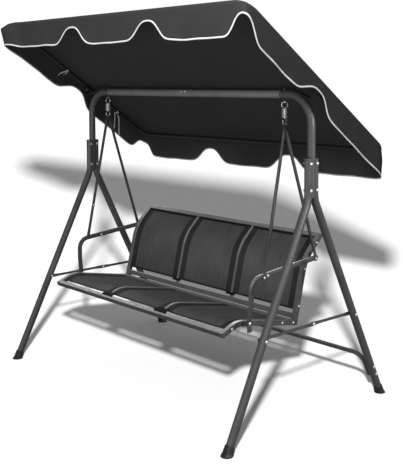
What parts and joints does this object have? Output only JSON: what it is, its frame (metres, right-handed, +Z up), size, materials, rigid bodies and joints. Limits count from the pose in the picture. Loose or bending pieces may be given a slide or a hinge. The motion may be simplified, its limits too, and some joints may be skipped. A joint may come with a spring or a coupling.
{
  "type": "canopy swing bench",
  "caption": "Garden swing bench: tubular A-frame, woven seat and back slung on springs, tilting fabric canopy with scalloped valance.",
  "frame": {"origin": "on the floor at the centre of the four feet", "axes": "+X along the bench, to the right as seen from in front of it; -Y towards the open front; +Z up"},
  "size_m": [1.886, 1.132, 1.9132],
  "materials": {
    "powder_coated_steel": "satin powder coat",
    "zinc_plated_steel": "zinc plated",
    "black_plastic": "moulded",
    "woven_textile": "coated woven mesh",
    "canopy_polyester": "plain woven polyester"
  },
  "bodies": {
    "frame": {"leg_front_left": "powder_coated_steel", "foot_front_left": "black_plastic", "brace_front_left": "powder_coated_steel", "leg_rear_left": "powder_coated_steel", "foot_rear_left": "black_plastic", "brace_rear_left": "powder_coated_steel", "corner_tube_left": "powder_coated_steel", "top_bar_left": "powder_coated_steel", "canopy_bracket_left": "powder_coated_steel", "eye_bolt_left": "zinc_plated_steel", "leg_front_right": "powder_coated_steel", "foot_front_right": "black_plastic", "brace_front_right": "powder_coated_steel", "leg_rear_right": "powder_coated_steel", "foot_rear_right": "black_plastic", "brace_rear_right": "powder_coated_steel", "corner_tube_right": "powder_coated_steel", "top_bar_right": "powder_coated_steel", "canopy_bracket_right": "powder_coated_steel", "eye_bolt_right": "zinc_plated_steel", "rear_cross_tube": "powder_coated_steel"},
    "spring_hangers": {"spring_left": "zinc_plated_steel", "spring_right": "zinc_plated_steel"},
    "pins": {"hanger_pin_left": "zinc_plated_steel", "hanger_pin_right": "zinc_plated_steel"},
    "chair": {"hanger_rod_front_left": "powder_coated_steel", "hanger_rod_rear_left": "powder_coated_steel", "arm_rest_left": "powder_coated_steel", "seat_side_rail_left": "powder_coated_steel", "back_side_rail_left": "powder_coated_steel", "seat_divider_left": "powder_coated_steel", "back_divider_left": "powder_coated_steel", "hanger_rod_front_right": "powder_coated_steel", "hanger_rod_rear_right": "powder_coated_steel", "arm_rest_right": "powder_coated_steel", "seat_side_rail_right": "powder_coated_steel", "back_side_rail_right": "powder_coated_steel", "seat_divider_right": "powder_coated_steel", "back_divider_right": "powder_coated_steel", "seat_front_rail": "powder_coated_steel", "seat_rear_rail": "powder_coated_steel", "back_top_rail": "powder_coated_steel", "back_bottom_rail": "powder_coated_steel", "seat_panel_left": "woven_textile", "seat_panel_middle": "woven_textile", "seat_panel_right": "woven_textile", "back_panel_left": "woven_textile", "back_panel_middle": "woven_textile", "back_panel_right": "woven_textile"},
    "canopy": {"canopy_side_tube_left": "powder_coated_steel", "valance_left": "canopy_polyester", "canopy_side_tube_right": "powder_coated_steel", "valance_right": "canopy_polyester", "canopy_front_tube": "powder_coated_steel", "valance_front": "canopy_polyester", "canopy_rear_tube": "powder_coated_steel", "valance_rear": "canopy_polyester", "canopy_top": "canopy_polyester"},
    "knob_left": {"canopy_knob_left": "black_plastic"},
    "knob_right": {"canopy_knob_right": "black_plastic"}
  },
  "joints": [
    {"name": "swing", "type": "hinge", "parent": "frame", "child": "spring_hangers", "pos_m": [0, 0, 1.472], "axis": [1, 0, 0], "range_deg": [-18, 18]},
    {"name": "spring_stretch", "type": "slide", "parent": "spring_hangers", "child": "pins", "axis": [0, 0, -1], "range_m": [0, 0.045], "stiffness_N_per_m": 45000, "springref_m": -0.003, "deforming": ["spring_left", "spring_right"]},
    {"name": "chair_rock", "type": "hinge", "parent": "pins", "child": "chair", "pos_m": [0, 0, 1.3766], "axis": [1, 0, 0], "range_deg": [-7, 7]},
    {"name": "canopy_tilt", "type": "hinge", "parent": "frame", "child": "canopy", "pos_m": [0, 0, 1.526], "axis": [1, 0, 0], "range_deg": [-6, 40]},
    {"name": "knob_turn_left", "type": "hinge", "parent": "frame", "child": "knob_left", "pos_m": [-0.9, 0, 1.526], "axis": [1, 0, 0], "range_deg": [-180, 180]},
    {"name": "knob_turn_right", "type": "hinge", "parent": "frame", "child": "knob_right", "pos_m": [0.9, 0, 1.526], "axis": [1, 0, 0], "range_deg": [-180, 180]}
  ]
}
